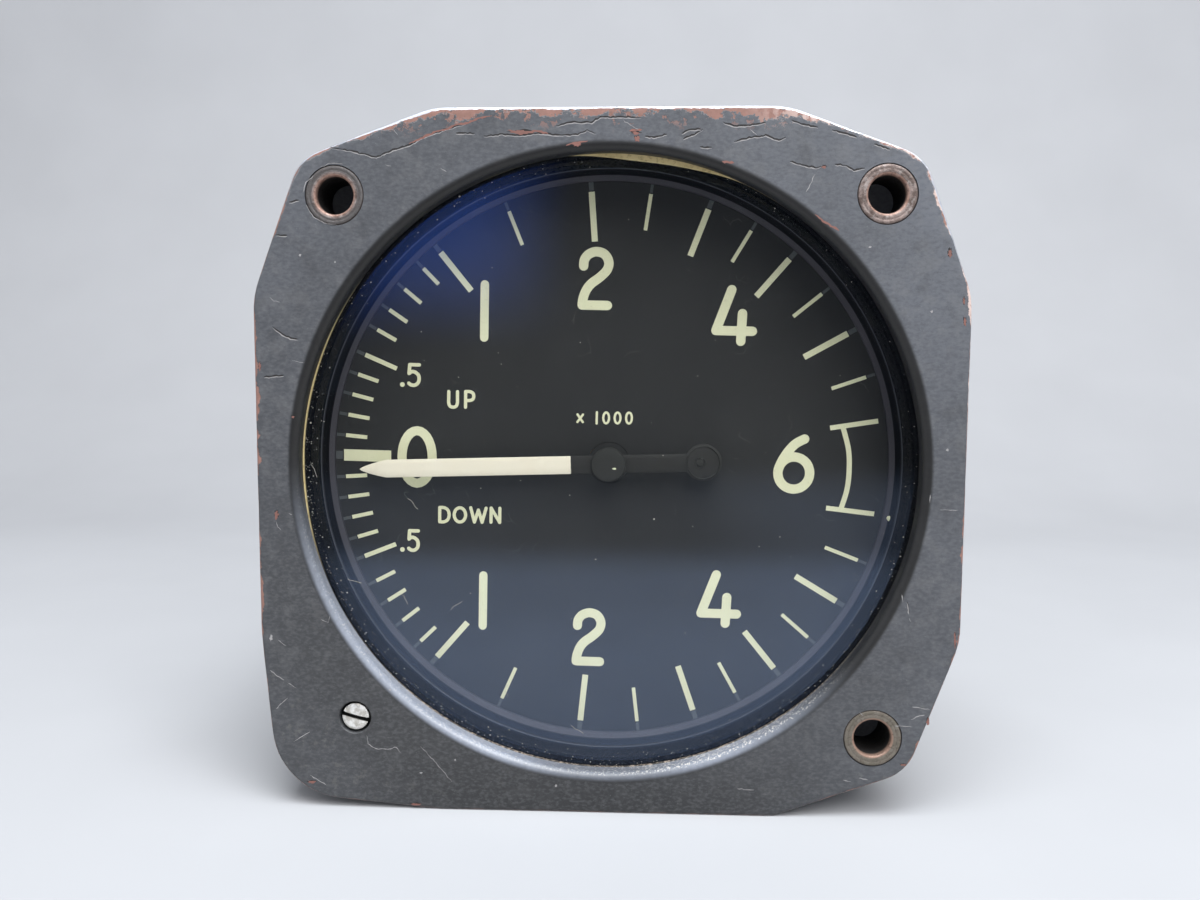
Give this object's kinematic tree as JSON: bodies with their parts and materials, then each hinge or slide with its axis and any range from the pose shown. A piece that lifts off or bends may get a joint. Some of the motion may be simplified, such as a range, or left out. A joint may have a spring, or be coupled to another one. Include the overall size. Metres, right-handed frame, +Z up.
{
  "type": "vertical speed indicator",
  "caption": "Round vertical speed indicator for an aircraft panel: square flange, glazed dial with one pointer, zero-adjusting screw and a static port in the rear.",
  "frame": {"origin": "on the dial axis, in the plane of the flange's back face, which bears on the panel when it is mounted from the front", "axes": "+X to the pilot's right, +Z up, +Y into the panel along the case, so that the dial faces -Y"},
  "size_m": [0.0826, 0.0973, 0.0826],
  "materials": {
    "painted_casting": "dark grey satin paint, worn to red primer and bare metal at the edges",
    "case_paint": "black satin paint",
    "bushing_brass": "worn, dull",
    "gasket_cork": "tan, matt",
    "glass": "clear, slightly dusty",
    "mask_black": "glossy black",
    "dial_black": "matt black with cream marks",
    "pointer_cream": "cream lacquer, black towards the hub and tail",
    "hub_black": "satin black",
    "screw_steel": "machined",
    "adjuster_steel": "bright, nickel plated",
    "movement_brass": "fine turned",
    "port_brass": "machined, slightly tarnished",
    "arbor_steel": "polished",
    "frame_aluminium": "machined",
    "jewel_red": "clear red synthetic stone",
    "capsule_bronze": "rolled spring bronze",
    "tube_copper": "drawn copper, dull",
    "spring_steel": "blued",
    "seal_rubber": "matt black",
    "core_stone": "porous, off-white"
  },
  "bodies": {
    "case": {"flange_casting": "painted_casting", "mounting_bushings": "bushing_brass", "glass_gasket": "gasket_cork", "cover_glass": "glass", "dial_mask_ring": "mask_black", "dial_plate": "dial_black", "case_body": "case_paint", "case_seal": "seal_rubber", "case_screws": "screw_steel", "static_port_insert": "port_brass", "movement_screws": "screw_steel", "movement_posts": "frame_aluminium", "front_plate": "movement_brass", "middle_plate": "movement_brass", "rear_plate": "movement_brass", "short_pillars": "movement_brass", "long_pillars": "movement_brass", "pillar_screws": "screw_steel", "staff_jewels": "jewel_red", "sector_jewels": "jewel_red", "banking_pins": "arbor_steel", "shaft_brackets": "movement_brass", "bracket_screws": "screw_steel", "hairspring_stud": "movement_brass", "capsule_rear_shell": "capsule_bronze", "capsule_front_diaphragm": "capsule_bronze", "capsule_stem": "movement_brass", "stem_nut": "movement_brass", "carrier_plate": "frame_aluminium", "carrier_standoffs": "frame_aluminium", "static_tube": "tube_copper", "port_block": "movement_brass", "block_screws": "screw_steel", "diffuser_housing": "movement_brass", "diffuser_core": "core_stone", "diffuser_cap": "movement_brass", "adjuster_seal": "seal_rubber", "seal_washer": "arbor_steel", "boss_cover": "case_paint", "adjuster_guide_pin": "arbor_steel"},
    "pointer_staff_body": {"pointer": "pointer_cream", "pointer_hub": "hub_black", "pointer_staff": "arbor_steel", "staff_pinion": "arbor_steel", "hairspring_collet": "movement_brass", "hairspring": "spring_steel"},
    "sector_body": {"sector_gear": "movement_brass", "sector_arbor": "arbor_steel", "drive_pin": "arbor_steel"},
    "rocking_shaft_body": {"rocking_shaft": "arbor_steel", "finger_arm": "movement_brass", "link_arm": "movement_brass", "shaft_counterweight": "movement_brass"},
    "capsule_link_body": {"capsule_link": "arbor_steel"},
    "zero_screw_body": {"zero_screw": "adjuster_steel", "adjuster_pinion": "movement_brass"},
    "adjuster_body": {"adjuster_gear": "movement_brass", "adjuster_shaft": "arbor_steel"},
    "carriage_body": {"adjuster_carriage": "movement_brass"}
  },
  "joints": [
    {"name": "sector_turn", "type": "hinge", "parent": "case", "child": "sector_body", "pos_m": [-0.022, 0.0137, 0], "axis": [0, 1, 0], "range_deg": [-17.25, 16.75]},
    {"name": "pointer_turn", "type": "hinge", "parent": "case", "child": "pointer_staff_body", "pos_m": [0, 0.0137, 0], "axis": [0, 1, 0], "range_deg": [-167.5, 172.5], "deforming": ["hairspring"]},
    {"name": "rocking_shaft_turn", "type": "hinge", "parent": "case", "child": "rocking_shaft_body", "pos_m": [0, 0.0284, -0.00098], "axis": [1, 0, 0], "range_deg": [-17.25, 16.75]},
    {"name": "capsule_travel", "type": "slide", "parent": "case", "child": "capsule_link_body", "axis": [0, 1, 0], "range_m": [-0.00117, 0.0012], "deforming": ["capsule_front_diaphragm"]},
    {"name": "adjuster_turn", "type": "hinge", "parent": "case", "child": "adjuster_body", "pos_m": [-0.02298, 0.0055, -0.02298], "axis": [0, 1, 0], "range_deg": [-75, 75]},
    {"name": "zero_screw_turn", "type": "hinge", "parent": "case", "child": "zero_screw_body", "pos_m": [-0.03005, 0.0055, -0.03005], "axis": [0, 1, 0], "range_deg": [-175, 175]},
    {"name": "carriage_travel", "type": "slide", "parent": "case", "child": "carriage_body", "axis": [0, 1, 0], "range_m": [-0.00021, 0.00021]}
  ],
  "couplings": [
    {"joint": "pointer_turn", "follows": "sector_turn", "ratio": -10},
    {"joint": "rocking_shaft_turn", "follows": "sector_turn", "ratio": 1},
    {"joint": "capsule_travel", "follows": "sector_turn", "m_per_rad": -0.004},
    {"joint": "zero_screw_turn", "follows": "adjuster_turn", "ratio": -2.3333},
    {"joint": "carriage_travel", "follows": "adjuster_turn", "m_per_rad": 0.00015915}
  ]
}
